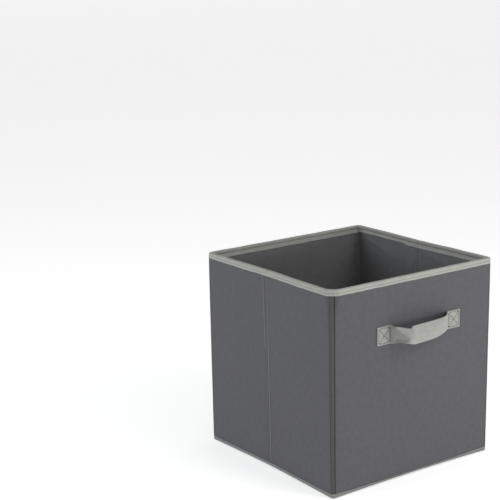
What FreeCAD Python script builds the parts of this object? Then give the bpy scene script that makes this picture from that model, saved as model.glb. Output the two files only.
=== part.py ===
"""Collapsible fabric storage bin: a ring of six stiffened wall panels, an open rim, a sewn cloth
bottom, a loose base insert and one strap handle.

Millimetres, +Z up, origin on the floor at the centre of the bin. The front wall carries the handle
and faces -Y. The two side walls are split by a vertical crease, so that the bin folds flat: each
half turns inward and the front wall travels back to the rear wall.
"""

import FreeCAD
import Part

import os

# Driving dimensions of the standing bin, measured over the binding tapes.
WIDTH = 276.0  # X
DEPTH = 276.0  # Y, without the handle
HEIGHT = 280.0

# Layers of a wall, from the outside in. Binding tape lies over both skins at the rim and the hem.
TAPE = 0.7
FABRIC = 0.8
BOARD = 2.0
WALL = FABRIC + BOARD + FABRIC
BOUND_WALL = TAPE + WALL + TAPE

# Heights of the tapes, and how far each board stays short of the tapes and of the panel ends.
RIM_LEG = 10.0
HEM = 9.0
BOARD_TOP_GAP = 1.0
BOARD_BOTTOM_GAP = 2.0
BOARD_END_GAP = 3.5

# Fold lines. A corner turns about a line just inside both inner faces, and a crease turns about a
# line just outside the outer faces, so that every pair of panels closes flat without overlap.
FOLD_CLEARANCE = 0.35
CORNER_X = WIDTH / 2 - BOUND_WALL - FOLD_CLEARANCE
CORNER_Y = DEPTH / 2 - BOUND_WALL - FOLD_CLEARANCE
CREASE_HALF_GAP = 0.3
CORNER_HALF_GAP = 0.05

# Tape over the four upright seams.
CORNER_TAPE_WIDTH = 5.3

# Base insert: a board sewn into a cloth cover, loose on the bottom cloth.
INSERT_CLEARANCE = 1.2  # to the walls all round
INSERT_LIFT = 0.2
COVER = 0.6
INSERT_X = WIDTH / 2 - BOUND_WALL - INSERT_CLEARANCE
INSERT_Y = DEPTH / 2 - BOUND_WALL - INSERT_CLEARANCE
INSERT_BOTTOM = FABRIC + INSERT_LIFT
INSERT_TOP = INSERT_BOTTOM + COVER + BOARD + COVER

# Pull tab on the insert: a ribbon loop lying flat.
TAB_WIDTH = 22.0
TAB_LENGTH = 48.0
TAB_FROM_FRONT = 14.0
TAB_LOOP_GAP = 0.3

# Handle: a doubled strap whose ends are sewn to the front wall and whose middle stands out in an
# arch. Its left leg is steep and its right leg slack, so that the grip slants back to the right.
STRAP = 1.6
STRAP_HEIGHT = 25.0
STRAP_CENTRE_X = 8.0
STRAP_CENTRE_Z = 206.0
STRAP_PATCH = 23.0  # length sewn flat at each end
STRAP_SPAN = 99.0  # between the sewn ends
LEFT_LEG_LEAN = 11.5
LEFT_LEG_REACH = 27.0  # out from the wall
RIGHT_LEG_LEAN = 19.5
RIGHT_LEG_REACH = 20.0
STRAP_BEND = 8.0
PATCH_OVERLAP = 3.0  # how far a patch runs under the foot of the arch
SHOULDER = 12.0  # the legs up to here only twist when the grip swings

OUT = "parts"
UP = FreeCAD.Vector(0, 0, 1)


def box(x, y, z):
    """A block between two corners, each axis given as a (low, high) pair."""
    size = [high - low for low, high in (x, y, z)]
    return Part.makeBox(*size, FreeCAD.Vector(x[0], y[0], z[0]))


def save(name, solid):
    """Writes one node."""
    solid.exportStep(os.path.join(OUT, name + ".step"))


class Panel:
    """One stiff panel of the wall ring, as a stretch of one face of the bin.

    along is the panel's (low, high) extent along that face. Depths are measured inward from the
    face of the binding tape.
    """

    def __init__(self, name, face, along):
        self.name = name
        self.face = face
        self.along = along

    def slab(self, depth, z, end_gap=0.0):
        """A block over a range of depth and height, held back from both panel ends by the gap."""
        along = (self.along[0] + end_gap, self.along[1] - end_gap)
        crosses = self.face in ("front", "back")
        half = (DEPTH if crosses else WIDTH) / 2
        across = (half - depth[1], half - depth[0])
        if self.face in ("front", "left"):
            across = (-across[1], -across[0])
        return box(along, across, z) if crosses else box(across, along, z)

    def outer_fabric(self):
        return self.slab((TAPE, TAPE + FABRIC), (HEM, HEIGHT - TAPE), self.tape_wrap())

    def lining(self):
        inner_face = TAPE + WALL
        return self.slab((inner_face - FABRIC, inner_face), (HEM, HEIGHT - TAPE), self.tape_wrap())

    def board(self):
        z = (HEM + BOARD_BOTTOM_GAP, HEIGHT - RIM_LEG - BOARD_TOP_GAP)
        return self.slab((TAPE + FABRIC, TAPE + FABRIC + BOARD), z, BOARD_END_GAP)

    def rim_binding(self):
        """Tape folded over the top edges of both skins."""
        folded = self.slab((0, BOUND_WALL), (HEIGHT - RIM_LEG, HEIGHT))
        beyond_ends = -1.0
        return folded.cut(self.slab((TAPE, TAPE + WALL), (0, HEIGHT - TAPE), beyond_ends))

    def bottom_hem(self):
        """The lower edges of both skins and the bottom cloth, sewn together inside one tape."""
        return self.slab((0, BOUND_WALL), (0, HEM))

    def tape_wrap(self):
        """The full-width walls stop one tape thickness short, where the corner tape passes."""
        return TAPE if self.face in ("front", "back") else 0.0

    def save_all(self):
        save(self.name + "_outer_fabric", self.outer_fabric())
        save(self.name + "_lining", self.lining())
        save(self.name + "_board", self.board())
        save(self.name + "_rim_binding", self.rim_binding())
        save(self.name + "_bottom_hem", self.bottom_hem())


def wall_panels():
    """The front and back walls in one piece each, and each side wall as two halves."""
    whole = (-WIDTH / 2, WIDTH / 2)
    side_end = CORNER_Y - CORNER_HALF_GAP
    panels = [Panel("back", "back", whole), Panel("front", "front", whole)]
    for side in ("left", "right"):
        panels.append(Panel(side + "_rear", side, (CREASE_HALF_GAP, side_end)))
        panels.append(Panel(side + "_front", side, (-side_end, -CREASE_HALF_GAP)))
    return panels


def corner_tape(x_side, y_side):
    """An angle of tape over one upright seam, from the hem to the rim binding."""
    z = (HEM, HEIGHT - RIM_LEG)
    x, y = WIDTH / 2, DEPTH / 2
    corner = box((x - CORNER_TAPE_WIDTH, x), (y - CORNER_TAPE_WIDTH, y), z)
    angle = corner.cut(box((0, x - TAPE), (0, y - TAPE), z))
    if x_side == "left":
        angle = angle.mirror(FreeCAD.Vector(), FreeCAD.Vector(1, 0, 0))
    if y_side == "front":
        angle = angle.mirror(FreeCAD.Vector(), FreeCAD.Vector(0, 1, 0))
    return angle


def bottom_cloth():
    return box((-CORNER_X, CORNER_X), (-CORNER_Y, CORNER_Y), (0, FABRIC))


def insert_block(skin):
    """The base insert's outline, shrunk on all sides by the skin."""
    x, y = INSERT_X - skin, INSERT_Y - skin
    return box((-x, x), (-y, y), (INSERT_BOTTOM + skin, INSERT_TOP - skin))


def base_board():
    return insert_block(COVER)


def base_cover():
    return insert_block(0.0).cut(insert_block(COVER))


def base_pull_tab():
    """A folded ribbon: two layers joined by a turn at the loop's end."""
    start = -INSERT_Y + TAB_FROM_FRONT
    turn = start + TAB_LENGTH - FABRIC
    top = INSERT_TOP + 2 * FABRIC + TAB_LOOP_GAP
    x = (-TAB_WIDTH / 2, TAB_WIDTH / 2)
    folded = box(x, (start, start + TAB_LENGTH), (INSERT_TOP, top))
    inside = (INSERT_TOP + FABRIC, top - FABRIC)
    beyond_sides = (x[0] - 1.0, x[1] + 1.0)
    return folded.cut(box(beyond_sides, (start - 1.0, turn), inside))


def at_strap(x, out, z):
    """A point given by its distance along the strap, out from the front fabric, and up it."""
    fabric_face = -DEPTH / 2 + TAPE
    return FreeCAD.Vector(STRAP_CENTRE_X + x, fabric_face - out, STRAP_CENTRE_Z + z)


def strap_block(x, out):
    """A block as high as the strap, over a range along it and a range out from the fabric."""
    low = at_strap(x[0], out[1], -STRAP_HEIGHT / 2)
    high = at_strap(x[1], out[0], STRAP_HEIGHT / 2)
    return box((low.x, high.x), (low.y, high.y), (low.z, high.z))


def arch():
    """The strap between its sewn ends, as a band along the inside of a rounded outline."""
    foot = STRAP_SPAN / 2
    left = (-foot + LEFT_LEG_LEAN, LEFT_LEG_REACH)
    right = (foot - RIGHT_LEG_LEAN, RIGHT_LEG_REACH)
    behind_wall = ((foot, -STRAP), (-foot, -STRAP))
    outline = [(-foot, 0), left, right, (foot, 0), *behind_wall, (-foot, 0)]
    corners = [at_strap(x, out, -STRAP_HEIGHT / 2) for x, out in outline]
    filled = Part.Face(Part.makePolygon(corners)).extrude(UP * STRAP_HEIGHT)
    rounded = filled.makeFillet(STRAP_BEND, [upright_edge(filled, *left), upright_edge(filled, *right)])
    base = rounded.section(Part.Plane(at_strap(0, 0, 0), UP).toShape())
    loop = Part.Wire(Part.sortEdges(base.Edges)[0])
    hollow = Part.Face(loop.makeOffset2D(-STRAP)).extrude(UP * STRAP_HEIGHT)
    hollow.translate(-UP * STRAP_HEIGHT / 2)
    return rounded.cut(hollow)


def upright_edge(block, x, out):
    """The edge of a block that stands at a point along the strap and out from the fabric."""
    corner = at_strap(x, out, 0)
    return min(block.Edges, key=lambda edge: edge.CenterOfMass.distanceToPoint(corner))


def handle_grip():
    half = STRAP_SPAN / 2
    return arch().common(strap_block((-half, half), (SHOULDER, LEFT_LEG_REACH)))


def handle_shoulder(x_side):
    x = (-STRAP_SPAN / 2, 0) if x_side == "left" else (0, STRAP_SPAN / 2)
    return arch().common(strap_block(x, (STRAP, SHOULDER)))


def handle_patch(x_side):
    foot = STRAP_SPAN / 2
    x = (foot - PATCH_OVERLAP, foot + STRAP_PATCH)
    if x_side == "left":
        x = (-x[1], -x[0])
    return strap_block(x, (0, STRAP))


def main():
    os.makedirs(OUT, exist_ok=True)
    for panel in wall_panels():
        panel.save_all()
    for y_side in ("front", "rear"):
        for x_side in ("left", "right"):
            save(f"{y_side}_{x_side}_corner_tape", corner_tape(x_side, y_side))
    save("bottom_cloth", bottom_cloth())
    save("base_board", base_board())
    save("base_cover", base_cover())
    save("base_pull_tab", base_pull_tab())
    for x_side in ("left", "right"):
        save(f"handle_{x_side}_patch", handle_patch(x_side))
        save(f"handle_{x_side}_shoulder", handle_shoulder(x_side))
    save("handle_grip", handle_grip())


main()
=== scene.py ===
"""Fabric storage bin: the finished look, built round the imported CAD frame.

Everything on the wall ring is laid out on one surface. A point on it is given by t, the distance
round the bin from the back left corner, z, the height, and out, the distance outward from the face
of the outer fabric. All the layers share that surface's bow and arch, so they never cross.
"""

import math

import bpy
import numpy as np
from mathutils import Matrix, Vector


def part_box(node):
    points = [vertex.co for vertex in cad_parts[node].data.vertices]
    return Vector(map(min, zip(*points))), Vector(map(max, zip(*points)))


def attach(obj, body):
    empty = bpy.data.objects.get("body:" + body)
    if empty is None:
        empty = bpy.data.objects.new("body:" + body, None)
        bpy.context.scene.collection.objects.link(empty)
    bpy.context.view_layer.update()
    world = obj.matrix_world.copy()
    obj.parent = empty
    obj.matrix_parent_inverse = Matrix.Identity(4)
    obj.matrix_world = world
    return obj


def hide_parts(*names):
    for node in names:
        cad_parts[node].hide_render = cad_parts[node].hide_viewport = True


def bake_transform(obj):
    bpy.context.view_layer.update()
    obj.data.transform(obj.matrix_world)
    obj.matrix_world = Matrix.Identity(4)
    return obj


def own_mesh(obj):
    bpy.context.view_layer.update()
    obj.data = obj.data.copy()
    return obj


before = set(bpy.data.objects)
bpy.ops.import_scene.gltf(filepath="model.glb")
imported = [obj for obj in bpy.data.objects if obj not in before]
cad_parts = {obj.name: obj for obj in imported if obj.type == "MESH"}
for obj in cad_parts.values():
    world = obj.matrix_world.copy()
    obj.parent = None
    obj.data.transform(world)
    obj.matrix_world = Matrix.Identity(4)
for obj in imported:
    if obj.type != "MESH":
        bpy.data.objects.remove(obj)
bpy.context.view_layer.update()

MM = 0.001

# --------------------
# Sizes, read from the CAD nodes where they have one.

rim_low, rim_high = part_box("front_rim_binding")
fabric_low, fabric_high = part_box("front_outer_fabric")
board_low, board_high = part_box("front_board")

HALF = -fabric_low.y  # from the middle to the outer fabric's face
SIDE = 2 * HALF
RING = 4 * SIDE
TOP = rim_high.z
RIM_LOW = rim_low.z
TAPE = -rim_low.y - HALF
FABRIC = fabric_high.y + HALF
BOARD = board_high.y - board_low.y
WALL = FABRIC + BOARD + FABRIC
BOARD_Z = (board_low.z, board_high.z)
BOARD_END_GAP = HALF - board_high.x

# The rim tape's outer leg is shorter than its inner one, and one seam holds both.
RIM_OUTER_LEG = 8.1 * MM
RIM_INNER_LEG = TOP - RIM_LOW
RIM_SEAM_Z = TOP - 4.8 * MM

# The hem tape is this high at the corners, and lower between them, most of all on the front.
HEM_TOP = 6.6 * MM
HEM_MIDDLE = 5.2 * MM
HEM_FRONT_MIDDLE = 2.9 * MM
HEM_ARCH = 2.6 * MM  # how far the bin's lower edge is drawn up midway between its corners
ARCH_TOP = 90 * MM

# From inside the hem tape to inside the rim tape.
SKIN_Z = (5.0 * MM, TOP - TAPE)

# At the back left, front left, front right and back right: the corner radii on the boards and up at
# the soft rim, how far the rim's corner is flattened, and how far it leans out.
CORNER_RADII = np.array([2.0, 5.0, 1.6, 4.0]) * MM
RIM_CORNER_RADII = np.array([2.5, 11.0, 2.2, 5.0]) * MM
RIM_CHAMFER = np.array([0.0, 0.6, 0.0, 0.0])
RIM_LEAN = np.array([0.2, 1.6, 2.6, 1.6]) * MM
SOFT_RIM_Z = (236 * MM, 273 * MM)  # the corners open out over this height
LEAST_RADIUS = 1.4 * MM
LINING_RADIUS = 2.8 * MM

# Where the four corners and the two creases are, round the ring.
BACK_LEFT, FRONT_LEFT, FRONT_RIGHT, BACK_RIGHT = 0.0, SIDE, 2 * SIDE, 3 * SIDE
LEFT_CREASE, RIGHT_CREASE = SIDE / 2, 2.5 * SIDE
CREASES = (LEFT_CREASE, RIGHT_CREASE)

FACE_ALONG = np.array([[0, -1], [1, 0], [0, 1], [-1, 0]], float)
FACE_NORMAL = np.array([[-1, 0], [0, -1], [1, 0], [0, 1]], float)
LEFT, FRONT, RIGHT, BACK = range(4)

PANELS = {
    "left_rear": (BACK_LEFT, LEFT_CREASE),
    "left_front": (LEFT_CREASE, FRONT_LEFT),
    "front": (FRONT_LEFT, FRONT_RIGHT),
    "right_front": (FRONT_RIGHT, RIGHT_CREASE),
    "right_rear": (RIGHT_CREASE, BACK_RIGHT),
    "back": (BACK_RIGHT, RING),
}
BODY_OF_PANEL = {name: name for name in PANELS} | {"front": "front_wall", "back": "back_wall"}


# --------------------
# The wall surface.


def smoothstep(low, high, value):
    share = np.clip((value - low) / (high - low), 0, 1)
    return share * share * (3 - 2 * share)


def bump(distance, width):
    """A soft hump, 1 at no distance and near 0 beyond the width."""
    return np.exp(-((distance / width) ** 2))


def face_and_place(t):
    """Which wall a point is on, and how far it is from that wall's middle."""
    t = np.asarray(t, float)
    face = np.floor(t / SIDE).astype(int)
    return face % 4, t - SIDE * face - HALF


def corner_shape(face, u, z):
    """The radius of the nearest corner, and how far it is flattened into a chamfer.

    Corners are tight on the boards and open out above them, at the soft rim.
    """
    corner = (face + (u > 0)) % 4
    soft = smoothstep(*SOFT_RIM_Z, z)
    tight = CORNER_RADII[corner]
    return tight + (RIM_CORNER_RADII[corner] - tight) * soft, RIM_CHAMFER[corner] * soft


def ripple(t, z, waves_round, size_z, seed):
    """Smooth unevenness from -1 to 1. It closes up after a full turn of the ring."""
    draw = np.random.default_rng(seed)
    waves = 5
    total = 0.0
    for _ in range(waves):
        count = draw.integers(max(1, waves_round // 2), waves_round + 1)
        tilt = draw.uniform(-1.0, 1.0)
        phase = draw.uniform(0, 6.28)
        total = total + np.sin(2 * np.pi * (count * t / RING + tilt * z / size_z) + phase)
    return total / waves


def bow(t, z):
    """How far the stiff walls stand out from flat, the same for every layer."""
    face, u = face_and_place(t)
    creased = (face == LEFT) | (face == RIGHT)
    upright = np.sin(np.pi * np.clip(z / TOP, 0, 1))
    across = np.cos(np.pi * u / SIDE)
    whole = upright * 0.9 * MM * across
    half_panel = upright * 0.6 * MM * np.sin(2 * np.pi * np.abs(u) / SIDE)
    crease_dip = (0.7 * MM + 1.6 * MM * z / TOP) * np.clip(1 - np.abs(u) / (75 * MM), 0, 1)
    uneven = upright * 0.22 * MM * ripple(t, z, 14, 0.21, 3)
    return np.where(creased, half_panel - crease_dip, whole) + uneven + lean(t, z) + seam_roll(t, z)


def lean(t, z):
    """The open rim spreads a little, most of all towards the front right."""
    corners = SIDE * np.arange(5)
    return np.interp(np.mod(t, RING), corners, np.append(RIM_LEAN, RIM_LEAN[0])) * z / TOP


def seam_roll(t, z):
    """The front wall rolls in towards the front left seam, below the rim and above the hem."""
    past = t - FRONT_LEFT
    held = smoothstep(0, 25 * MM, z) * smoothstep(0, 18 * MM, TOP - z)
    roll = -1.5 * MM * np.exp(-np.clip(past, 0, None) / (5.5 * MM)) * smoothstep(0, 3 * MM, past)
    return roll * held


def arch(t, z):
    """The lower edge stands on its corners and is drawn up a little between them."""
    _, u = face_and_place(t)
    lift = HEM_ARCH * (1 - (u / HALF) ** 2)
    return lift * np.clip(1 - z / ARCH_TOP, 0, 1) ** 2


def wall(t, z, out):
    """The point at t, z and out, as an array of x, y, z.

    Inside the boards the lining bridges each corner as a narrow flat facet.
    """
    t, z, out = np.broadcast_arrays(np.asarray(t, float), z, out)
    face, u = face_and_place(t)
    moved = out + bow(t, z)
    radius, chamfer = corner_shape(face, u, z)
    inner = out < -FABRIC - BOARD + 0.02 * MM
    chamfer = np.where(inner, 1.0, chamfer)
    radius = np.maximum(radius, np.where(inner, LINING_RADIUS, LEAST_RADIUS) - moved)
    share = np.clip(np.abs(u) - (HALF - radius), 0, radius) / radius
    turn = share * (np.pi / 4)
    reach = radius + moved
    sideways = reach * ((1 - chamfer) * np.sin(turn) + chamfer * share / 2)
    outward = reach * ((1 - chamfer) * np.cos(turn) + chamfer * (1 - share / 2))
    along = np.sign(u) * (np.minimum(np.abs(u), HALF - radius) + sideways)
    away = HALF - radius + outward
    xy = FACE_ALONG[face] * along[..., None] + FACE_NORMAL[face] * away[..., None]
    return np.concatenate([xy, (z + arch(t, z))[..., None]], axis=-1)


def stations(start, end, coarse=4.0 * MM):
    """Places to cut a strip between start and end: close together at corners and creases.

    None lies on a crease's hinge line, so that each belongs to one half of the wall.
    """
    least = 0.2 * MM
    corners = [SIDE * k for k in range(-1, 6)]
    places = [start]
    while places[-1] < end:
        here = places[-1]
        to_corner = min(abs(here - corner) for corner in corners)
        to_crease = min(abs(here - crease) for crease in CREASES)
        corner_step = 0.8 * MM + 0.15 * max(0.0, to_corner - 13 * MM)
        crease_step = 0.5 * MM + 0.12 * max(0.0, to_crease - 5 * MM)
        places.append(here + min(corner_step, crease_step, coarse))
    places = np.array(places)
    for crease in CREASES:
        places = np.where(np.abs(places - crease) < least, crease - least, places)
    places[0], places[-1] = start, end
    return places


# --------------------
# Mesh making.


def grid(*axes):
    """A grid of points, from coordinates that broadcast together."""
    return np.stack(np.broadcast_arrays(*axes), axis=-1)


def unit(vectors):
    return vectors / np.linalg.norm(vectors, axis=-1, keepdims=True)


def beside(path):
    """The direction square to a flat path, at each of its points."""
    ahead = unit(np.gradient(path, axis=0))
    return np.stack([ahead[:, 1], -ahead[:, 0]], axis=1)


def length_along(path):
    """How far along a path each of its points is."""
    steps = np.linalg.norm(np.diff(path, axis=0), axis=1)
    return np.concatenate([[0], np.cumsum(steps)])


def mesh_object(name, vertices, faces, uvs, sharp=50):
    """An object whose faces meet smoothly where they bend by less than the sharp angle."""
    mesh = bpy.data.meshes.new(name)
    mesh.from_pydata(vertices.tolist(), [], faces)
    layer = mesh.uv_layers.new(name="cloth")
    corner_vertex = np.empty(len(mesh.loops), np.int32)
    mesh.loops.foreach_get("vertex_index", corner_vertex)
    layer.data.foreach_set("uv", uvs[corner_vertex].astype(np.float32).ravel())
    mesh.shade_smooth()
    mesh.set_sharp_from_angle(angle=math.radians(sharp))
    obj = bpy.data.objects.new(name, mesh)
    bpy.context.scene.collection.objects.link(obj)
    return obj


def grid_faces(index):
    """Quads over a 2-D array of vertex numbers."""
    a, b, c, d = index[:-1, :-1], index[1:, :-1], index[1:, 1:], index[:-1, 1:]
    return np.stack([a, b, c, d], axis=-1).reshape(-1, 4)


def signed_volume(vertices, faces):
    """The volume that quads enclose, below zero where they face inward."""
    p = vertices[faces]
    first = np.einsum("ij,ij->i", p[:, 0], np.cross(p[:, 1], p[:, 2]))
    second = np.einsum("ij,ij->i", p[:, 0], np.cross(p[:, 2], p[:, 3]))
    return (first + second).sum() / 6


def cloth(name, outside, inside, uv, sharp=50):
    """A closed piece of cloth between two matching grids of points, with its four edges joined."""
    top = np.arange(outside[..., 0].size).reshape(outside.shape[:2])
    under = top + top.size
    edges = [
        np.concatenate([side[:, 0], side[-1, 1:], side[-2::-1, -1], side[0, -2::-1]])
        for side in (top, under)
    ]
    rim = grid_faces(np.stack(edges, axis=1))
    faces = np.concatenate([grid_faces(top), grid_faces(under)[:, ::-1], rim[:, ::-1]])
    vertices = np.concatenate([outside.reshape(-1, 3), inside.reshape(-1, 3)])
    if signed_volume(vertices, faces) < 0:
        faces = faces[:, ::-1]
    return mesh_object(name, vertices, faces.tolist(), np.tile(uv.reshape(-1, 2), (2, 1)), sharp)


def join(name, objects):
    """Merges pieces into one object, keeping their materials and edges."""
    bpy.ops.object.select_all(action="DESELECT")
    for obj in objects:
        obj.select_set(True)
    bpy.context.view_layer.objects.active = objects[0]
    bpy.ops.object.join()
    objects[0].name = name
    objects[0].data.name = name
    return objects[0]


def stitches(name, starts, ends, normals, thread=0.28 * MM, rise=0.22 * MM):
    """One object holding a short arched thread from each start to each end.

    A thread is a row of six-sided rings that starts and ends below the cloth's face.
    """
    shares = np.array([0.0, 0.12, 0.5, 0.88, 1.0])
    heights = np.array([-0.6, 0.6, 1.0, 0.6, -0.6]) * rise
    radii = np.array([0.5, 0.95, 1.0, 0.95, 0.5]) * thread
    angles = np.arange(6) * (np.pi / 3)
    run = ends - starts
    normals = unit(normals)
    sideways = unit(np.cross(run, normals))
    centre = starts[:, None] + run[:, None] * shares[:, None] + normals[:, None] * heights[:, None]
    ring = np.cos(angles)[:, None] * normals[:, None] + np.sin(angles)[:, None] * sideways[:, None]
    vertices = centre[:, :, None] + radii[:, None, None] * ring[:, None]
    count, rings, sides = vertices.shape[:3]
    index = np.arange(count * rings * sides).reshape(count, rings, sides)
    wrapped = np.concatenate([index, index[:, :, :1]], axis=2)
    faces = []
    for one in wrapped:
        faces += grid_faces(one).tolist()
        faces += [one[0, :-1].tolist()[::-1], one[-1, :-1].tolist()]
    flat = vertices.reshape(-1, 3)
    along = np.linalg.norm(run, axis=1)[:, None, None] * shares[:, None] + 0 * angles
    uvs = np.stack([along, 0 * along + thread * angles], axis=-1).reshape(-1, 2)
    obj = mesh_object(name, flat, faces, uvs, sharp=80)
    if faces_inward(flat, faces[0], centre[0, 0]):
        obj.data.flip_normals()
    return obj


def faces_inward(vertices, face, centre):
    """Whether a face of a thread looks towards the centre of the thread."""
    a, b, c = (vertices[i] for i in face[:3])
    return np.dot(np.cross(b - a, c - a), vertices[list(face)].mean(axis=0) - centre) < 0


# --------------------
# Materials. UVs are in metres on the cloth, so that a weave keeps its size on every piece.


class Nodes:
    """A new material's node tree, with short ways to add and join nodes."""

    def __init__(self, name):
        self.material = bpy.data.materials.new(name)
        self.material.use_nodes = True
        self.tree = self.material.node_tree
        self.shader = self.tree.nodes["Principled BSDF"]
        self.uv = self.add("ShaderNodeUVMap", {}, uv_map="cloth").outputs["UV"]

    def add(self, kind, inputs, **settings):
        node = self.tree.nodes.new(kind)
        for key, value in settings.items():
            setattr(node, key, value)
        self.fill(node, inputs)
        return node

    def fill(self, node, inputs):
        """Gives each named input of a node its value, or joins it to another node's output."""
        for key, value in inputs.items():
            if hasattr(value, "is_linked"):
                self.tree.links.new(value, node.inputs[key])
            else:
                node.inputs[key].default_value = value

    def scaled(self, size_u, size_v, offset=0.0):
        """The place on the cloth, counted in steps of the given sizes in metres along u and v."""
        scale, location = (1 / size_u, 1 / size_v, 1), (offset, offset, 0)
        inputs = {"Vector": self.uv, "Scale": scale, "Location": location}
        return self.add("ShaderNodeMapping", inputs).outputs[0]

    def noise(self, size_u, size_v, detail=2.0, roughness=0.5, offset=0.0):
        """Noise whose features have about the given sizes."""
        place = self.scaled(size_u, size_v, offset)
        inputs = {"Vector": place, "Scale": 1.0, "Detail": detail, "Roughness": roughness}
        return self.add("ShaderNodeTexNoise", inputs).outputs["Fac"]

    def cells(self, size_u, size_v, regular):
        """Distance to the middle of cells in a grid, from 0; regular 1 is an exact grid."""
        inputs = {"Vector": self.scaled(size_u, size_v), "Scale": 1.0, "Randomness": 1 - regular}
        return self.add("ShaderNodeTexVoronoi", inputs).outputs["Distance"]

    def math(self, operation, a, b):
        return self.add("ShaderNodeMath", {0: a, 1: b}, operation=operation).outputs[0]

    def total(self, *parts):
        """The sum of some values, each given with its weight."""
        weighted = [self.math("MULTIPLY", value, weight) for value, weight in parts]
        result = weighted[0]
        for value in weighted[1:]:
            result = self.math("ADD", result, value)
        return result

    def spread(self, value, low=0.0, high=1.0, width=0.4):
        """A noise value, which lies mostly within a width about 0.5, spread from low to high."""
        return self.between(value, 0.5 - width / 2, 0.5 + width / 2, low, high)

    def between(self, value, from_low, from_high, low=0.0, high=1.0):
        inputs = {"Value": value, "From Min": from_low, "From Max": from_high}
        inputs |= {"To Min": low, "To Max": high}
        return self.add("ShaderNodeMapRange", inputs).outputs["Result"]

    def shades(self, share, color, dark, light):
        """The colour from its dark factor to its light factor."""
        inputs = {"Factor": share, "A": tint(color, dark), "B": tint(color, light)}
        return self.add("ShaderNodeMix", inputs, data_type="RGBA").outputs["Result"]

    def finish(self, color, roughness, height, depth, sheen=0.0, sheen_roughness=0.5):
        """Joins colour, roughness and bump to the shader; depth is the bump's size in metres."""
        bump_inputs = {"Height": height, "Distance": depth, "Strength": 0.5}
        inputs = {
            "Base Color": color,
            "Roughness": roughness,
            "Normal": self.add("ShaderNodeBump", bump_inputs).outputs["Normal"],
            "IOR": 1.45,
            "Specular IOR Level": 0.25,
            "Sheen Weight": sheen,
            "Sheen Roughness": sheen_roughness,
        }
        self.fill(self.shader, inputs)
        return self.material


def tint(color, factor):
    """The colour made darker or lighter, with full opacity."""
    return (*(min(1.0, c * factor) for c in color), 1)


def nonwoven(name, color):
    """Pressed non-woven cloth: matted fibres that run upright, with a grid of tiny bonded dots."""
    n = Nodes(name)
    clouds = n.noise(7 * MM, 10 * MM, detail=4, roughness=0.65, offset=3.1)
    fibres = n.noise(0.9 * MM, 9 * MM, detail=4, roughness=0.65)
    specks = n.noise(0.7 * MM, 0.9 * MM, detail=2, offset=7.7)
    dots = n.between(n.cells(1.3 * MM, 1.3 * MM, 0.85), 0.15, 0.45)
    mottle = n.total((clouds, 0.35), (fibres, 0.5), (specks, 0.15))
    shade = n.shades(n.spread(mottle, width=0.36), color, 0.82, 1.18)
    height = n.total((dots, 0.55), (fibres, 0.8))
    return n.finish(shade, n.spread(fibres, 0.82, 0.95), height, 0.12 * MM, 0.08, 0.5)


def tape_cloth(name, color, rib=0.9 * MM):
    """Narrow folded tape of close cloth with a fine rib across it and soft soiling."""
    n = Nodes(name)
    clouds = n.noise(18 * MM, 6 * MM, detail=3)
    grain = n.noise(0.8 * MM, 0.6 * MM, detail=3, offset=5.0)
    ribs = n.cells(rib, 0.7 * rib, 0.7)
    shade = n.shades(n.spread(n.total((clouds, 0.6), (grain, 0.4))), color, 0.88, 1.08)
    height = n.total((ribs, 0.6), (grain, 1.0))
    return n.finish(shade, n.spread(grain, 0.75, 0.9), height, 0.15 * MM, 0.1, 0.45)


def cardboard(name, color):
    """Uncoated grey-brown board with stray fibres."""
    n = Nodes(name)
    pulp = n.noise(5 * MM, 5 * MM, detail=5, roughness=0.7)
    flecks = n.noise(2.5 * MM, 0.5 * MM, detail=3, offset=2.2)
    mottle = n.total((pulp, 0.6), (flecks, 0.4))
    shade = n.shades(n.spread(mottle), color, 0.75, 1.15)
    return n.finish(shade, n.spread(pulp, 0.8, 0.95), mottle, 0.2 * MM)


def thread(name, color):
    """Twisted sewing thread."""
    n = Nodes(name)
    twist = n.noise(0.35 * MM, 2.0 * MM, detail=1)
    shade = n.shades(n.spread(twist), color, 0.75, 1.2)
    return n.finish(shade, n.spread(twist, 0.55, 0.75), twist, 0.1 * MM)


GREY = (0.088, 0.087, 0.095)
LINING_GREY = (0.162, 0.161, 0.167)
SEAM_GREY = (0.073, 0.073, 0.072)
LIGHT = (0.335, 0.335, 0.312)
# The hem tape is the rim's tape painted darker: painted shade for the shade that falls on the hem
# near the floor.
HEM_PAINTED_SHADE_GREY = (0.232, 0.237, 0.227)
STRAP_LIGHT = (0.303, 0.303, 0.286)

OUTER_CLOTH = nonwoven("outer_cloth", GREY)
LINING_CLOTH = nonwoven("lining_cloth", LINING_GREY)
BINDING_TAPE = tape_cloth("binding_tape", LIGHT)
HEM_PAINTED_SHADE_TAPE = tape_cloth("painted_shade_hem_tape", HEM_PAINTED_SHADE_GREY)
SEAM_TAPE = tape_cloth("seam_tape", SEAM_GREY)
STRAP_CLOTH = tape_cloth("strap_cloth", STRAP_LIGHT, rib=1.2 * MM)
CHIPBOARD = cardboard("chipboard", (0.4, 0.3, 0.2))
TAPE_THREAD = thread("tape_thread", (0.17, 0.17, 0.16))
CREASE_THREAD = thread("crease_thread", (0.3, 0.3, 0.31))
# Near-black thread. On the upright seams its wide outer row is also painted shade for the shadow
# along the seam.
DARK_THREAD_AND_SEAM_SHADE = thread("dark_thread_and_seam_shade", (0.022, 0.022, 0.022))
HANDLE_THREAD = thread("handle_thread", (0.022, 0.021, 0.018))
BROWN_THREAD = thread("brown_thread", (0.11, 0.085, 0.035))


def dress(obj, material):
    obj.data.materials.clear()
    obj.data.materials.append(material)
    return obj


# --------------------
# How pieces follow the walls. Nothing bends across a joint: a piece rides one wall or stays where it
# is.


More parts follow.
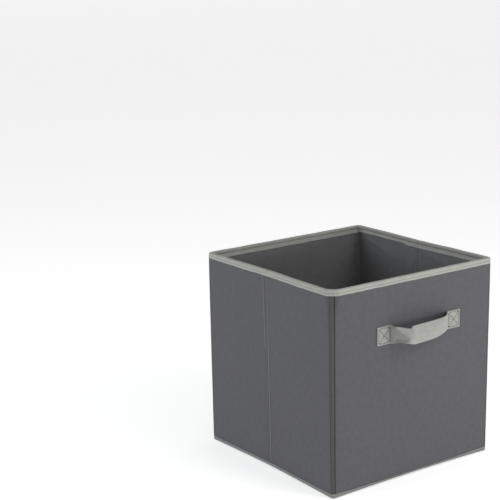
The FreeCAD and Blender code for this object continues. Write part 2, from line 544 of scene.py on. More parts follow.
def turn_corner(obj, corner, before, after):
    """Bakes a piece's placement into its mesh. It works out the corner's two sides but bends
    nothing.
    """
    x, y = wall(corner, TOP / 2, 0.0)[:2]
    x, y = math.copysign(HALF, x), math.copysign(HALF, y)
    side, end = (before, after) if corner in (FRONT_LEFT, BACK_RIGHT) else (after, before)
    on_side = (x, y - math.copysign(side, y), 0)
    on_end = (x - math.copysign(end, x), y, 0)
    corners = {
        FRONT_LEFT: ("left_front", "front_wall", on_side, on_end),
        FRONT_RIGHT: ("front_wall", "right_front", on_end, on_side),
        BACK_RIGHT: ("back_wall", "right_rear", on_end, on_side),
        BACK_LEFT: ("back_wall", "left_rear", on_end, on_side),
    }
    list(corners[corner])
    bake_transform(obj)


def turn_left_crease(obj):
    """Bakes a piece's placement into its mesh; the piece is not folded at the crease."""
    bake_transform(obj)


def ride_panel(obj, panel):
    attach(obj, BODY_OF_PANEL[panel])


# --------------------
# The two skins and the boards.


def rows(low, high, step=3.0 * MM):
    """Even heights to cut a strip at."""
    return np.linspace(low, high, max(2, round((high - low) / step) + 1))


def crease_line(z):
    """Where the sharp fold of a crease runs: not quite upright, off the middle of the wall."""
    return 2.6 * MM - 3.5 * MM * z / TOP


# A row of stitches stands beside each crease's fold. On the left it shows only above this height.
SECOND_ROW = -8.2 * MM
SECOND_ROW_LOW = 170 * MM


def soft_band(distance, half_width):
    """1 within half a width and 0 beyond, over a soft edge."""
    return 1 / (1 + np.exp((np.abs(distance) - half_width) / (0.35 * MM)))


def outer_relief(t, z):
    """The outer fabric over the boards: folded along the crease, puckered by the hem and the rim."""
    face, u = face_and_place(t)
    creased = (face == LEFT) | (face == RIGHT)
    from_fold = np.where(face == RIGHT, -u, u) - crease_line(z)
    fold = 0.45 * MM * bump(from_fold, 0.9 * MM) - 0.28 * MM * bump(from_fold + 2.2 * MM, 1.1 * MM)
    slack = 0.35 * MM * soft_band(from_fold + 4.0 * MM, 3.9 * MM)
    upper = smoothstep(150 * MM, 250 * MM, z)
    fold = fold - slack + 0.3 * MM * bump(from_fold - SECOND_ROW, 0.8 * MM) * upper
    pucker = 0.22 * MM * ripple(t, z, 46, 0.08, 11) * bump(z - 12 * MM, 16 * MM)
    pucker = pucker + 0.15 * MM * ripple(t, z, 40, 0.09, 12) * bump(z - 262 * MM, 14 * MM)
    return np.where(creased, fold, 0.0) + pucker + 0.05 * MM * ripple(t, z, 60, 0.05, 13)


# Drag lines in the lining start just under the rim. Each has the corner or crease that it starts
# from, its direction along the wall, its lean below level and its width in radians, its length and
# its height.
DRAG_TOP = 269 * MM
DRAG_LINES = (
    (BACK_RIGHT, -1, 0.28, 0.090, 85 * MM, 1.7 * MM),
    (BACK_RIGHT, -1, 0.56, 0.100, 80 * MM, 1.3 * MM),
    (BACK_RIGHT, -1, 0.92, 0.130, 80 * MM, 0.4 * MM),
    (RIGHT_CREASE, -1, 0.26, 0.120, 60 * MM, 2.0 * MM),
    (RIGHT_CREASE, 1, 1.15, 0.120, 60 * MM, 0.6 * MM),
    (BACK_RIGHT, 1, 1.05, 0.140, 80 * MM, 0.4 * MM),
    (BACK_LEFT, 1, 0.50, 0.100, 80 * MM, 1.1 * MM),
    (BACK_LEFT, 1, 0.95, 0.110, 80 * MM, 0.8 * MM),
    (LEFT_CREASE, 1, 0.45, 0.120, 60 * MM, 1.0 * MM),
    (FRONT_LEFT, -1, 0.75, 0.110, 90 * MM, 1.1 * MM),
    (FRONT_RIGHT, 1, 0.65, 0.120, 70 * MM, 1.0 * MM),
    (FRONT_RIGHT, -1, 0.95, 0.120, 70 * MM, 0.6 * MM),
)


def drag_line(t, z, start, direction, lean, width, length, height):
    """A soft fold that runs down from a point near the rim and widens as it goes."""
    along = (t - start) * direction
    down = DRAG_TOP - z
    distance = np.hypot(along, down) + 1e-6
    angle = np.arctan2(down, along)
    grow = smoothstep(2 * MM, 30 * MM, distance)
    return height * bump(angle - lean, width) * grow * bump(distance, length) * (along > 0)


def lining_relief(t, z):
    """The lining hangs loose on the boards: soft drape folds, always inward of the board."""
    face, u = face_and_place(t)
    creased = (face == LEFT) | (face == RIGHT)
    loose = 0.3 * MM + 0.45 * MM * (0.5 + 0.5 * ripple(t, z, 12, 0.3, 21))
    for start, *shape in DRAG_LINES:
        for turn in (-RING, 0.0, RING):
            loose = loose + drag_line(t, z, start + turn, *shape)
    near_corner = smoothstep(1 * MM, 15 * MM, HALF - np.abs(u))
    near_rim = smoothstep(-1 * MM, 9 * MM, 271 * MM - z)
    near_hem = smoothstep(0.0, 12 * MM, z - SKIN_Z[0])
    groove = soft_band(u, 1.6 * MM)
    held = np.where(creased, 1 - groove, 1.0)
    pinch = np.where(creased, 0.5 * MM * groove, 0.0)
    return pinch - loose * near_corner * near_rim * near_hem * held


def skin(name, span, outer, step=3.0 * MM):
    """One fabric skin over a stretch of the ring."""
    t = stations(*span, coarse=step)[:, None]
    z = rows(*SKIN_Z, step)[None, :]
    if outer:
        face = outer_relief(t, z)
        outside, inside = wall(t, z, face), wall(t, z, face - FABRIC)
    else:
        face = lining_relief(t, z)
        outside, inside = wall(t, z, face - WALL + FABRIC), wall(t, z, face - WALL)
    return cloth(name, outside, inside, grid(t, z))


def sew_skins():
    """Outer fabric and lining. The left wall's run over its crease in one piece; the right wall's
    meet at it.
    """
    gap = 0.1 * MM
    pieces = {
        "left": (BACK_LEFT, FRONT_LEFT, ("left_rear", "left_front")),
        "front": (FRONT_LEFT, FRONT_RIGHT, ("front",)),
        "right_front": (FRONT_RIGHT, RIGHT_CREASE, ("right_front",)),
        "right_rear": (RIGHT_CREASE, BACK_RIGHT, ("right_rear",)),
        "back": (BACK_RIGHT, RING, ("back",)),
    }
    for place, (start, end, panels) in pieces.items():
        for layer, outer in (("outer_fabric", True), ("lining", False)):
            obj = skin(f"{place}_{layer}_cloth", (start + gap, end - gap), outer)
            dress(obj, OUTER_CLOTH if outer else LINING_CLOTH)
            if len(panels) == 2:
                turn_left_crease(obj)
            else:
                ride_panel(obj, panels[0])
            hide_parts(*[f"{panel}_{layer}" for panel in panels])


def stiffen():
    """Boards between the skins, bowed with them."""
    for panel, (start, end) in PANELS.items():
        t = np.linspace(start + BOARD_END_GAP, end - BOARD_END_GAP, 30)[:, None]
        z = rows(*BOARD_Z, 10 * MM)[None, :]
        clear = 0.05 * MM
        face = -FABRIC - clear
        back = face - BOARD + 2 * clear
        obj = cloth(f"{panel}_stiffener", wall(t, z, face), wall(t, z, back), grid(t, z))
        dress(obj, CHIPBOARD)
        ride_panel(obj, panel)
        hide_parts(f"{panel}_board")


# --------------------
# Bindings: tape folded over an edge. A tape's cross-section is a path in (out, z).


def fold_over(outer_leg, inner_leg, edge, sense):
    """The path of a tape from its outer leg's free end, over the edge, to its inner leg's end.

    edge is the height of the folded edge, each leg is measured from there, and sense is +1 for a
    rim or -1 for a hem.
    """
    bend = 2.1 * MM
    outer, inner = TAPE, -WALL - TAPE
    quarter = np.linspace(0, np.pi / 2, 8)
    path = [(outer, h) for h in np.linspace(outer_leg, bend, 12)[:-1]]
    path += [(outer - bend * (1 - np.cos(a)), bend * (1 - np.sin(a))) for a in quarter]
    path += [(inner + bend * (1 - np.sin(a)), bend * (1 - np.cos(a))) for a in quarter]
    path += [(inner, h) for h in np.linspace(bend, inner_leg, 16)[1:]]
    return np.array([(out, edge - sense * h) for out, h in path])


def thicken(path, thickness):
    """The same path moved to its other side by the tape's thickness."""
    toward = beside(path)
    if np.sum(toward * (path.mean(axis=0) - path)) < 0:
        toward = -toward
    return path + toward * thickness


def binding(name, span, path, relief):
    """Tape with that cross-section, along a stretch of the ring. relief(t, z, out) moves it."""
    t = stations(*span)[:, None]
    faces = []
    for line in (path, thicken(path, TAPE)):
        out, z = line[None, :, 0], line[None, :, 1]
        move_out, move_z = relief(t, z, out)
        faces.append(wall(t, z + move_z, out + move_out))
    return cloth(name, *faces, grid(t, length_along(path)[None, :]), sharp=60)


def side_of(out):
    """+1 on the outer leg, -1 on the inner leg, and in between over the top."""
    return np.clip((out + WALL / 2) / (WALL / 2), -1, 1)


def corner_pleats(t):
    """Tape gathered round the wide front left corner of the rim."""
    away = t - FRONT_LEFT
    over_seam = 0.75 * MM * (smoothstep(-12 * MM, -7 * MM, away) - smoothstep(7 * MM, 12 * MM, away))
    dents = 0.5 * MM * bump(away + 1.0 * MM, 1.8 * MM) + 0.5 * MM * bump(away - 6.4 * MM, 0.9 * MM)
    folds = 0.5 * MM * bump(away - 3.6 * MM, 1.2 * MM) + 0.4 * MM * bump(away + 5.2 * MM, 1.2 * MM)
    return over_seam + folds - dents


# The rim tape's two ends lap here, on the inner side, and the lap stands a little proud.
LAP = BACK_RIGHT - 110 * MM


def rim_relief(t, z, out):
    """The rim tape is drawn in along its seam, stands off below it and kinks at the creases."""
    face, u = face_and_place(t)
    creased = (face == LEFT) | (face == RIGHT)
    side = side_of(out)
    outer, inner = np.clip(side, 0, 1), np.clip(-side, 0, 1)
    seam = bump(z - RIM_SEAM_Z, 1.2 * MM)
    flare = smoothstep(RIM_SEAM_Z, RIM_LOW, z) * smoothstep(RIM_SEAM_Z - 0.5 * MM, RIM_LOW, z)
    kink = np.where(creased, bump(u, 1.5 * MM), 0.0)
    lap = smoothstep(LAP, LAP + 0.6 * MM, t) * (face == RIGHT)
    gathers = 0.1 * MM * along_only(t, 150, 46) * (1 - seam)
    proud = 0.15 * MM - 0.14 * MM * seam + (0.12 * MM * ripple(t, z, 60, 0.03, 41) + gathers)
    drawn_in = proud - 0.55 * MM * seam - 0.9 * MM * kink + 0.9 * MM * flare
    out_move = outer * (proud - 0.3 * MM * kink + corner_pleats(t)) - inner * drawn_in
    leg = smoothstep(TOP - 3 * MM, RIM_LOW, z)
    edge = leg * (0.3 * MM * along_only(t, 30, 43) + 0.2 * MM * along_only(t, 70, 44) * side)
    edge = edge + leg * inner * (1.5 * MM * lap - 0.7 * MM)
    dips = 0.25 * MM * along_only(t, 24, 45) - 0.35 * MM * kink
    return out_move, edge + smoothstep(TOP - 3 * MM, TOP, z) * dips


def along_only(t, waves_round, seed):
    """Unevenness that is the same at every height."""
    return ripple(t, 0.0, waves_round, 1.0, seed)


def hem_height(t):
    """How high the hem tape's outer leg stands at a place round the ring."""
    face, u = face_and_place(t)
    middle = np.where(face == FRONT, HEM_FRONT_MIDDLE, HEM_MIDDLE)
    return middle + (HEM_TOP - middle) * np.abs(u / HALF) ** np.where(face == FRONT, 2.2, 6)


def hem_relief(t, z, out):
    """The hem tape is a little uneven, and its outer leg's height varies."""
    side = side_of(out)
    outer = np.clip(side, 0, 1)
    uneven = 0.12 * MM * ripple(t, z, 70, 0.03, 51)
    height = hem_height(t) + 0.3 * MM * along_only(t, 50, 52)
    return side * uneven, outer * z * (height / HEM_TOP - 1)


# The rim tape's pieces: where each starts and ends, its panels and the corner that it turns. One
# that turns a corner reaches this far past it; CORNER_BEND goes to turn_corner, which bends nothing.
CORNER_REACH = 14 * MM
CORNER_BEND = 11 * MM
RIM_PIECES = {
    "left": (CORNER_REACH, FRONT_LEFT - CORNER_REACH, ("left_rear", "left_front"), None),
    "front": (FRONT_LEFT - CORNER_REACH, FRONT_RIGHT - CORNER_REACH, ("front",), FRONT_LEFT),
    "right_front": (FRONT_RIGHT - CORNER_REACH, RIGHT_CREASE, ("right_front",), FRONT_RIGHT),
    "right_rear": (RIGHT_CREASE, BACK_RIGHT + CORNER_REACH, ("right_rear",), BACK_RIGHT),
    "back": (BACK_RIGHT + CORNER_REACH, RING + CORNER_REACH, ("back",), BACK_LEFT),
}


def follow_rim(obj, corner):
    """Bakes a rim piece's placement; no piece is bent at its corner or folded at the crease."""
    if corner is None:
        turn_left_crease(obj)
    else:
        turn_corner(obj, corner, CORNER_BEND, CORNER_BEND)


def bind_rim():
    """The tape over the rim, with a seam that shows on both of its legs."""
    path = fold_over(RIM_OUTER_LEG, RIM_INNER_LEG, TOP, 1)
    for place, (start, end, panels, corner) in RIM_PIECES.items():
        obj = binding(f"{place}_rim_tape", (start, end), path, rim_relief)
        dress(obj, BINDING_TAPE)
        follow_rim(obj, corner)
        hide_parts(*[f"{panel}_rim_binding" for panel in panels])
        seams = [rim_stitches(start, end, out) for out in (TAPE, -WALL - TAPE)]
        thread_obj = join(f"{place}_rim_stitches", seams)
        dress(thread_obj, TAPE_THREAD)
        follow_rim(thread_obj, corner)


def sew(name, places, out, relief, side=1, **thread):
    """Stitches on one face of a wall's layer, which side tells: 1 outside or -1 inside.

    places has three (t, z) pairs of arrays: where the stitches start, where they end and where
    the way they face is found.
    """

    def at(place, extra=0.0):
        t, z = np.broadcast_arrays(*place)
        move_out, move_z = relief(t, z, out)
        return wall(t, z + move_z, out + move_out + extra)

    starts, ends, middles = places
    facing = side * (at(middles, MM) - at(middles))
    return stitches(name, at(starts), at(ends), facing, **thread)


def rim_stitches(start, end, out):
    """The rim's seam on one leg of the tape: short stitches outside, long ones inside."""
    pitch, length = (4.4 * MM, 2.0 * MM) if out > 0 else (4.0 * MM, 3.1 * MM)
    t = np.arange(start + 0.5 * MM, end - length, pitch)
    places = [(t + length * share, RIM_SEAM_Z) for share in (0, 1, 0.5)]
    side = 1 if out > 0 else -1
    return sew("rim_row", places, out, rim_relief, side, thread=0.46 * MM, rise=0.15 * MM)


def bind_hem():
    """The tape round the bottom seam, one piece to a panel, each riding its panel."""
    path = fold_over(HEM_TOP, 5.0 * MM, 0.0, -1)
    for panel, (start, end) in PANELS.items():
        obj = binding(f"{panel}_painted_shade_hem_tape", (start, end), path, hem_relief)
        # Its colour is the rim tape's colour darkened, as painted shade along the floor.
        dress(obj, HEM_PAINTED_SHADE_TAPE)
        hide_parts(f"{panel}_bottom_hem")
        thread_obj = dress(hem_stitches(panel, start, end), TAPE_THREAD)
        edge = turned_edge(panel, start, end)
        for piece in (obj, thread_obj, edge):
            ride_panel(piece, panel)
            if panel != "back":
                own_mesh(piece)


def turned_edge(panel, start, end):
    """The lowest strip of the outer fabric, down inside the hem tape."""
    gap = 0.1 * MM
    t = stations(start + gap, end - gap)[:, None]
    z = np.linspace(1.2 * MM, SKIN_Z[0], 4)[None, :]
    face = outer_relief(t, z)
    outside, inside = wall(t, z, face), wall(t, z, face - FABRIC)
    obj = cloth(f"{panel}_turned_edge", outside, inside, grid(t, z))
    return dress(obj, OUTER_CLOTH)


def hem_stitches(panel, start, end):
    """Slanting overlock stitches across the outer leg of the hem tape."""
    t = np.arange(start + 2 * MM, end - 3.5 * MM, 3.2 * MM)
    low, high = 0.3 * HEM_TOP, 0.9 * HEM_TOP
    places = [(t, low), (t + 1.9 * MM, high), (t, high)]
    name = f"{panel}_hem_stitches"
    return sew(name, places, TAPE, hem_relief, thread=0.34 * MM, rise=0.12 * MM)


# --------------------
# Upright seams and creases.

# Each upright seam's tape: its name, and how far it reaches before and after the corner.
SEAM_TAPES = {
    FRONT_LEFT: ("front_left", 4.0 * MM, 4.6 * MM),
    FRONT_RIGHT: ("front_right", 1.0 * MM, 9.6 * MM),
    BACK_RIGHT: ("rear_right", 1.0 * MM, 9.6 * MM),
    BACK_LEFT: ("rear_left", 9.6 * MM, 1.0 * MM),
}


def tape_corners():
    """Dark tape over each upright seam, tucked under the rim and hem tapes."""
    thickness = 0.55 * MM
    for corner, (name, before, after) in SEAM_TAPES.items():
        t = np.linspace(corner - before, corner + after, 23)[:, None]
        z = rows(HEM_TOP - 2 * MM, TOP - RIM_OUTER_LEG + 1.2 * MM)[None, :]
        from_edge = np.minimum(t - corner + before, corner + after - t)
        dip = np.where(t < corner, 0.12 * MM, 0.3 * MM) * bump(from_edge - 0.8 * MM, 0.5 * MM)
        swell = 0.12 * MM * ripple(t, z, 80, 0.05, 61) - dip
        outside, inside = wall(t, z, thickness + swell), wall(t, z, swell - 0.1 * MM)
        obj = cloth(f"{name}_seam_tape", outside, inside, grid(t, z))
        dress(obj, SEAM_TAPE)
        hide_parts(f"{name}_corner_tape")
        out = thickness - 0.15 * MM
        first = seam_row(lambda z: t[0, 0] + 0.9 * MM + 0 * z, out, thread=0.14 * MM)
        # The wide near-black outer row is the stitches and, as painted shade, the seam's shadow
        # line.
        last = seam_row(lambda z: t[-1, 0] - 0.8 * MM + 0 * z, out, thread=0.46 * MM)
        thread_obj = dress(join(f"{name}_seam_stitches", [first, last]), DARK_THREAD_AND_SEAM_SHADE)
        for piece in (obj, thread_obj):
            turn_corner(piece, corner, before - 0.3 * MM, after - 0.3 * MM)


def flat_relief(t, z):
    return 0.0


def seam_row(place, out, side=1, low=HEM_TOP + 1 * MM, thread=0.22 * MM, relief=flat_relief):
    """An upright row of stitches. place(z) is where it stands round the ring."""
    z = np.arange(low, TOP - RIM_OUTER_LEG - 1 * MM, 3.4 * MM)
    end_z = z + 2.7 * MM
    start, end = (place(z), z), (place(end_z), end_z)

    def move(t, z, out):
        return relief(t, z), 0.0

    return sew("seam_row", (start, end, start), out, move, side, thread=thread)


def sinking_relief(t, z):
    """The outer fabric's face, and below it further down, where a row of stitches sinks in."""
    return outer_relief(t, z) - 0.5 * MM * (1 - smoothstep(SECOND_ROW_LOW, 250 * MM, z))


def sew_creases():
    """Rows of stitches hold the ends of the boards, and show along the fold of a crease."""

    def fold_row(crease, offset, out, thread, relief, **more):
        """A row at an offset from the fold, which leans the other way on the right wall."""
        direction = 1 if crease == LEFT_CREASE else -1

        def place(z):
            return crease + direction * (crease_line(z) + offset)

        return seam_row(place, out, thread=thread, relief=relief, **more)

    proud = 0.08 * MM
    fold = fold_row(LEFT_CREASE, 0.0, proud, 0.42 * MM, outer_relief)
    second = fold_row(LEFT_CREASE, SECOND_ROW, proud, 0.36 * MM, sinking_relief, low=SECOND_ROW_LOW)
    obj = dress(join("left_crease_stitches", [fold, second]), CREASE_THREAD)
    turn_left_crease(obj)
    right = fold_row(RIGHT_CREASE, SECOND_ROW, 0.02 * MM, 0.3 * MM, outer_relief)
    right.name = "right_crease_stitches"
    ride_panel(dress(right, CREASE_THREAD), "right_rear")
    for panel, (start, end) in PANELS.items():
        if end in CREASES:
            inner_row(panel, end - 3.2 * MM)
        if start in CREASES:
            inner_row(panel, start + 3.2 * MM)


def inner_row(panel, t):
    """The row that shows on the lining, on a panel's own side of the crease."""
    out = -WALL - 0.05 * MM
    obj = seam_row(lambda z: t + 0 * z, out, -1, thread=0.2 * MM, relief=lining_relief)
    obj.name = f"{panel}_crease_inner_stitches"
    ride_panel(dress(obj, CREASE_THREAD), panel)


# --------------------
# Bottom cloth and base insert.


def lay_bottom_cloth():
    """The bottom's edges run up into the hem tape, between its two legs."""
    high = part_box("bottom_cloth")[1]
    reach = HALF - 2.2 * MM
    edge = reach - np.array([6.0, 5.0, 4.0, 3.2, 2.6, 1.8, 0.9, 0.0]) * MM
    line = np.concatenate([-edge[::-1], np.linspace(-edge[0], edge[0], 60)[1:-1], edge])
    x, y = line[:, None], line[None, :]
    nearest = reach - np.maximum(np.abs(x), np.abs(y))
    from_middle = np.minimum(np.abs(x), np.abs(y)) / reach
    z = 0.05 * MM + HEM_ARCH * (1 - smoothstep(2 * MM, 6 * MM, nearest)) * (1 - from_middle**2)
    under = grid(x, y, z)
    over = under + np.array([0, 0, high.z - 0.1 * MM])
    obj = cloth("bottom_sewn_cloth", over, under, grid(x, y))
    dress(obj, OUTER_CLOTH)
    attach(obj, "back_wall")
    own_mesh(obj)
    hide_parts("bottom_cloth")


def lay_insert():
    """The sleeve round the base board: a cloth bag with soft edges and a seam round its top."""
    low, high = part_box("base_cover")
    outer = pillow("insert_sleeve", low, high, 1.5 * MM, 0.18 * MM)
    inner = pillow("insert_sleeve_inside", *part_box("base_board"), 0.3 * MM, 0.0)
    inner.data.flip_normals()
    for part in (outer, inner):
        dress(part, LINING_CLOTH)
    sleeve = join("insert_sleeve", [outer, inner])
    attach(sleeve, "base_insert")
    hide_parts("base_cover")
    sew_insert(high)


def pillow(name, low, high, soft, wave):
    """A thin closed cushion shape between two corners, rounded over its edge."""
    steps = np.array([0.0, 0.15, 0.45, 1.0, 2.5, 5.0]) * soft
    inner_line = np.linspace(low.x + 9 * MM, high.x - 9 * MM, 60)
    line = np.concatenate([low.x + steps, inner_line, (high.x - steps)[::-1]])
    x, y = line[:, None], line[None, :]
    gap = np.minimum(high.x - np.abs(x), high.y - np.abs(y))
    half_height = (high.z - low.z) / 2
    middle = (high.z + low.z) / 2
    round_over = np.sqrt(np.clip(1 - (1 - np.clip(gap / soft, 0, 1)) ** 2, 0, 1))
    height = half_height * (0.15 + 0.85 * round_over)
    unevenness = wave * ripple(x * 4, y, 30, 0.09, 71) * smoothstep(0, 10 * MM, gap)
    seam = -wave * 2.0 * bump(gap - 6 * MM, 1.0 * MM)
    top = middle + height + unevenness * (wave > 0) + seam
    return cloth(name, grid(x, y, top), grid(x, y, middle - height), grid(x, y), sharp=70)


def sew_insert(high):
    """A row of stitches round the top of the sleeve."""
    inset, pitch, length = 6 * MM, 3.6 * MM, 2.6 * MM
    reach = high.x - inset
    along = np.arange(-reach, reach - length, pitch)

    def round_sleeve(x, y=-reach, z=high.z - 0.3 * MM):
        """The same points on each of the four sides."""
        sides = []
        for angle in np.arange(4) * np.pi / 2:
            c, s = np.cos(angle), np.sin(angle)
            sides.append(grid(c * x - s * y, s * x + c * y, z))
        return np.concatenate(sides)

    starts, ends = round_sleeve(along), round_sleeve(along + length)
    up = np.tile([0.0, 0.0, 1.0], (len(starts), 1))
    obj = dress(stitches("insert_stitches", starts, ends, up), DARK_THREAD_AND_SEAM_SHADE)
    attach(obj, "base_insert")


def lay_pull_tab():
    """A ribbon folded in two, its ends sewn down and its loop lying on the sleeve."""
    low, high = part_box("base_pull_tab")
    width, length = high.x - low.x, high.y - low.y
    ribbon = 0.65 * MM
    top, bottom = high.z - ribbon / 2, low.z + ribbon / 2 + 0.25 * MM
    bend = (top - bottom) / 2
    turn_y, turn_z = high.y - bend - ribbon, (top + bottom) / 2
    half_turn = np.linspace(-np.pi / 2, np.pi / 2, 9)[1:-1]
    lower = [(y, bottom) for y in np.linspace(low.y, turn_y, 16)]
    turn = [(turn_y + bend * np.cos(a), turn_z + bend * np.sin(a)) for a in half_turn]
    upper = [(y, top) for y in np.linspace(turn_y, low.y, 16)]
    path = np.array(lower + turn + upper)
    x = np.linspace(low.x, high.x, 12)[None, :]
    curl = 0.25 * MM * np.sin(np.pi * (x - low.x) / width)
    faces = []
    for side in (0.5, -0.5):
        line = path + beside(path) * ribbon * side
        y, z = line[:, None, 0], line[:, None, 1]
        raised = curl * smoothstep(low.y + 10 * MM, high.y, y) * (z > turn_z)
        faces.append(grid(x, y, z + raised))
    uv = grid(length_along(path)[:, None], x)
    obj = dress(cloth("pull_tab_ribbon", *faces, uv), SEAM_TAPE)
    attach(obj, "base_insert")
    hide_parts("base_pull_tab")


# --------------------
# Handle.

patch_low, patch_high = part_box("handle_left_patch")
STRAP = patch_high.y - patch_low.y
STRAP_Z = (patch_low.z, patch_high.z)
STRAP_ENDS = (patch_low.x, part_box("handle_right_patch")[1].x)
PATCH = 23 * MM

# The strap's line seen from above, in mm: x, and out from the wall, at these shares of the way up
# the strap. The left knee slants back towards the top.
STRAP_LEVELS = (0.0, 0.35, 0.65, 1.0)
STRAP_LINE = (
    ((-64.5, 0.0),) * 4,
    ((-42.2, 0.0),) * 4,
    ((-34.5, 23.6), (-31.0, 25.8), (-36.8, 18.4), (-43.4, 12.8)),
    ((-24.5, 23.0), (-23.0, 25.0), (-23.0, 24.2), (-24.0, 22.4)),
    ((-6.0, 21.8), (-5.0, 24.0), (-5.0, 23.2), (-5.0, 21.0)),
    ((16.0, 19.4), (15.0, 22.2), (15.0, 21.6), (15.0, 19.8)),
    ((30.0, 15.4), (33.0, 18.6), (35.0, 18.4), (37.0, 17.0)),
    ((49.0, 6.2), (50.0, 8.0), (50.0, 9.0), (50.0, 9.5)),
    ((57.8, 0.0),) * 4,
    ((80.5, 0.0),) * 4,
)


def across_strap(line, share):
    """Values at shares of the way up the strap, from its values at the four levels."""
    total = 0.0
    for i, level in enumerate(STRAP_LEVELS):
        others = [other for other in STRAP_LEVELS if other != level]
        weight = np.prod([(share - other) / (level - other) for other in others], axis=0)
        total = total + line[:, i, None, :] * weight[None, :, None]
    return total


def evenly(corners, samples):
    """Points at even steps along each line of corners; the second axis tells the lines apart."""
    paths = []
    for line in range(corners.shape[1]):
        points = corners[:, line]
        length = length_along(points)
        place = np.linspace(0, length[-1], samples)
        paths.append(np.stack([np.interp(place, length, points[:, k]) for k in (0, 1)], axis=-1))
    return np.stack(paths, axis=1)


def soften(path, rounds=60):
    """Rounds the corners of the strap's line: the left knee stays sharp, the rest is a soft arch."""
    x = path[..., :1]
    strength = 0.05 + 0.6 * smoothstep(-20, 10, x) * (1 - smoothstep(48, 56, x))
    for _ in range(rounds):
        middle = (path[:-2] + path[2:]) / 2
        path[1:-1] += strength[1:-1] * (middle - path[1:-1])
    return path


def strap_surface(samples=300, across=25):
    """The middle of the strap as a grid of points, and the way it faces.

    Beside the left patch a dart pinches its lower edge, a tuck draws its upper edge down and the
    lower edge is lifted. Beyond them it only wrinkles.
    """
    share = np.linspace(0, 1, across)
    plan = soften(evenly(across_strap(np.array(STRAP_LINE), share), samples)) * MM
    x, out = plan[..., 0], np.clip(plan[..., 1], 0, None)
    share = share[None, :] + 0 * x
    free = smoothstep(0, 8 * MM, out)
    z = STRAP_Z[0] + (STRAP_Z[1] - STRAP_Z[0]) * share
    dart = bump(x + 37.0 * MM, 1.8 * MM) * bump(share - 0.12, 0.14)
    tuck = smoothstep(-43 * MM, -26 * MM, x) * (1 - smoothstep(-25.5 * MM, -23.2 * MM, x))
    lifted = smoothstep(-42 * MM, -37 * MM, x) * (1 - smoothstep(-33 * MM, -20 * MM, x))
    z = z - 3.0 * MM * tuck * share**3 + 3.2 * MM * lifted * (1 - share) ** 2
    wrinkles = 0.3 * MM * ripple(x * 6, z * 3, 60, 0.09, 81)
    wrinkles = wrinkles + 0.06 * MM * ripple(x * 16, z * 9, 90, 0.09, 82)
    out = out + free * (wrinkles - 5.0 * MM * dart) + STRAP / 2 + 0.05 * MM
    t = x + FRONT_LEFT + HALF
    out = out + bow(t, z) + outer_relief(t, z)
    middle = grid(x, -HALF - out, z)
    facing = unit(np.cross(np.gradient(middle, axis=1), np.gradient(middle, axis=0)))
    if facing[0, 0, 1] > 0:
        facing = -facing
    return middle, facing


def sew_handle():
    """The strap, one piece from sewn end to sewn end, baked in place."""
    middle, facing = strap_surface()
    across = middle.shape[1]
    share = np.linspace(0, 1, across)
    thin_edge = 0.55 + 0.45 * smoothstep(0, 0.06, np.minimum(share, 1 - share))
    half = (STRAP / 2 * thin_edge)[None, :, None]
    length = length_along(middle[:, across // 2])
    width = STRAP_Z[1] - STRAP_Z[0]
    uv = grid(length[:, None], width * share[None, :])
    strap = cloth("handle_strap", middle + facing * half, middle - facing * half, uv, sharp=75)
    dress(strap, STRAP_CLOTH)
    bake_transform(strap)
    parts = ("left_patch", "left_shoulder", "grip", "right_shoulder", "right_patch")
    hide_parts(*[f"handle_{part}" for part in parts])
    sew_patches()


def patch_point(x, z):
    """A point on the face of a sewn end."""
    t = x + FRONT_LEFT + HALF
    return grid(x, -HALF - (STRAP + 0.05 * MM + bow(t, z) + outer_relief(t, z)), z)


def sewn_line(start, end, pitch, length):
    """Starts and ends of stitches along a straight line on a sewn end, given as x and z."""
    (x0, z0), (x1, z1) = start, end
    run = math.hypot(x1 - x0, z1 - z0)
    begin = np.arange(pitch / 2, run - length, pitch) / run
    stop = begin + length / run
    return [patch_point(x0 + (x1 - x0) * share, z0 + (z1 - z0) * share) for share in (begin, stop)]


def sew_patches():
    """A stitched box with a cross in it on each sewn end, and a dense bar at the left one's foot."""
    inset = 2.2 * MM
    low, high = STRAP_Z[0] + inset, STRAP_Z[1] - inset
    pairs = []
    for left in (STRAP_ENDS[0] + inset, STRAP_ENDS[1] + inset - PATCH):
        right = left + PATCH - 2 * inset
        box = [(left, low), (right, low), (right, high), (left, high), (left, low)]
        lines = list(zip(box[:-1], box[1:])) + [(box[0], box[2]), (box[1], box[3])]
        pairs += [sewn_line(a, b, 3.3 * MM, 1.4 * MM) for a, b in lines]
    dark = stitch_set("handle_stitches", pairs, 0.58 * MM)
    foot = STRAP_ENDS[0] + PATCH - 1.0 * MM
    bars = []
    for x in (foot - 0.8 * MM, foot, foot + 0.8 * MM):
        bottom, top = (x, STRAP_Z[0] + 1.2 * MM), (x, STRAP_Z[1] - MM)
        bars.append(sewn_line(bottom, top, 1.5 * MM, 1.2 * MM))
    brown = stitch_set("handle_foot_stitches", bars, 0.36 * MM)
    dress(dark, HANDLE_THREAD)
    dress(brown, BROWN_THREAD)
    for obj in (dark, brown):
        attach(obj, "front_wall")


def stitch_set(name, pairs, thread):
    """One object of stitches that face the front, from pairs of starts and ends."""
    starts = np.concatenate([pair[0] for pair in pairs])
    ends = np.concatenate([pair[1] for pair in pairs])
    facing = np.tile([0.0, -1.0, 0.0], (len(starts), 1))
    return stitches(name, starts, ends, facing, thread=thread, rise=0.15 * MM)


# --------------------
# Surroundings, light and camera.


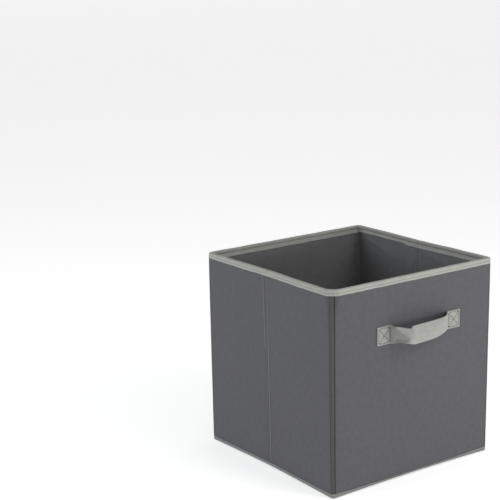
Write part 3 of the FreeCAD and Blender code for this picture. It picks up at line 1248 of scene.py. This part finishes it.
def lay_floor():
    """A wide pale table that glows a little from within, as a photographer's light table does.

    Far off a backdrop of the same stuff curves up from it all round. Its sizes are in metres.
    """
    n = Nodes("pale_floor")
    shading = {"Base Color": (0.9, 0.9, 0.9, 1), "Roughness": 0.9, "Specular IOR Level": 0.1}
    shading |= {"Emission Color": (1, 1, 1, 1), "Emission Strength": 0.53}
    n.fill(n.shader, shading)
    half, level = 30.0, -0.2 * MM
    quadrants = ((-1, -1), (1, -1), (1, 1), (-1, 1))
    corners = np.array([(x * half, y * half, level) for x, y in quadrants])
    floor = mesh_object("floor", corners, [[0, 1, 2, 3]], corners[:, :2])
    angle = np.linspace(0, 2 * np.pi, 97)[:, None]
    sweep = np.linspace(0, np.pi / 2, 17)[None, :]
    foot, depth, height = 24, 4, 6
    distance = foot + depth * np.sin(sweep)
    curve = grid(distance * np.cos(angle), distance * np.sin(angle), height * (1 - np.cos(sweep)))
    faces = grid_faces(np.arange(angle.size * sweep.size).reshape(angle.size, sweep.size))
    points = curve.reshape(-1, 3)
    backdrop = mesh_object("backdrop", points, faces.tolist(), points[:, :2])
    for obj in (floor, backdrop):
        obj.data.materials.append(n.material)


def light_room():
    """A dim white surround and four soft lights."""
    world = bpy.data.worlds.new("surround")
    world.use_nodes = True
    background = world.node_tree.nodes["Background"]
    background.inputs["Color"].default_value = (1, 1, 1, 1)
    background.inputs["Strength"].default_value = 0.345
    bpy.context.scene.world = world
    area_light("front_soft", (1.1, -1.9, 0.3), (0, 0, 0.14), (1.4, 0.36), 15.3, (1, 0.99, 0.97))
    area_light("high_soft", (0.3, -0.95, 0.95), (0, 0, 0.14), (0.6, 0.5), 3.9, (1, 1, 1))
    area_light("left_soft", (-2.1, 0.6, 0.75), (0, 0, 0.16), (0.7, 0.7), 14.2, (0.9, 0.97, 1))
    area_light("overhead", (0.05, 0.05, 2.3), (0.05, 0.05, 0), (0.5, 0.5), 2.6, (1, 1, 1))


def area_light(name, place, target, size, power, color):
    """A rectangular light aimed at the target. The camera doesn't see it."""
    data = bpy.data.lights.new(name, "AREA")
    data.shape = "RECTANGLE"
    data.size, data.size_y = size
    data.energy = power
    data.color = color
    obj = bpy.data.objects.new(name, data)
    obj.location = place
    back = np.array(place) - np.array(target)
    obj.rotation_euler = (
        math.acos(back[2] / np.linalg.norm(back)),
        0,
        math.atan2(back[1], back[0]) + math.pi / 2,
    )
    obj.visible_camera = False
    bpy.context.scene.collection.objects.link(obj)


CAMERA_PLACE = (-1.1729, -1.4277, 0.7241)
CAMERA_AZIMUTH, CAMERA_ELEVATION, CAMERA_ROLL = -35.267, 13.273, -1.224
CAMERA_LENS = 98.6


def place_camera():
    """The camera looks along a direction given by its angles, and is turned a little about it."""
    azimuth, elevation, roll = map(math.radians, (CAMERA_AZIMUTH, CAMERA_ELEVATION, CAMERA_ROLL))
    away = math.cos(elevation)
    back = np.array([math.sin(azimuth) * away, -math.cos(azimuth) * away, math.sin(elevation)])
    level = unit(np.cross([0, 0, 1], back))
    upright = np.cross(back, level)
    c, s = math.cos(roll), math.sin(roll)
    right, up = c * level + s * upright, -s * level + c * upright
    camera = bpy.data.objects.new("camera", bpy.data.cameras.new("camera"))
    camera.data.lens = CAMERA_LENS
    camera.data.sensor_width = 36
    camera.matrix_world = Matrix(
        [[right[i], up[i], back[i], CAMERA_PLACE[i]] for i in range(3)] + [[0, 0, 0, 1]]
    )
    bpy.context.scene.collection.objects.link(camera)
    bpy.context.scene.camera = camera


def paint_cad_board():
    """The base board stays as its CAD solid, inside the sleeve."""
    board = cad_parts["base_board"]
    if not board.data.uv_layers:
        board.data.uv_layers.new(name="cloth")
    board.data.uv_layers[0].name = "cloth"
    board.data.materials.clear()
    board.data.materials.append(CHIPBOARD)


bpy.context.scene.view_settings.view_transform = "Standard"
stiffen()
sew_skins()
bind_rim()
bind_hem()
tape_corners()
sew_creases()
lay_bottom_cloth()
lay_insert()
lay_pull_tab()
sew_handle()
paint_cad_board()
lay_floor()
light_room()
place_camera()
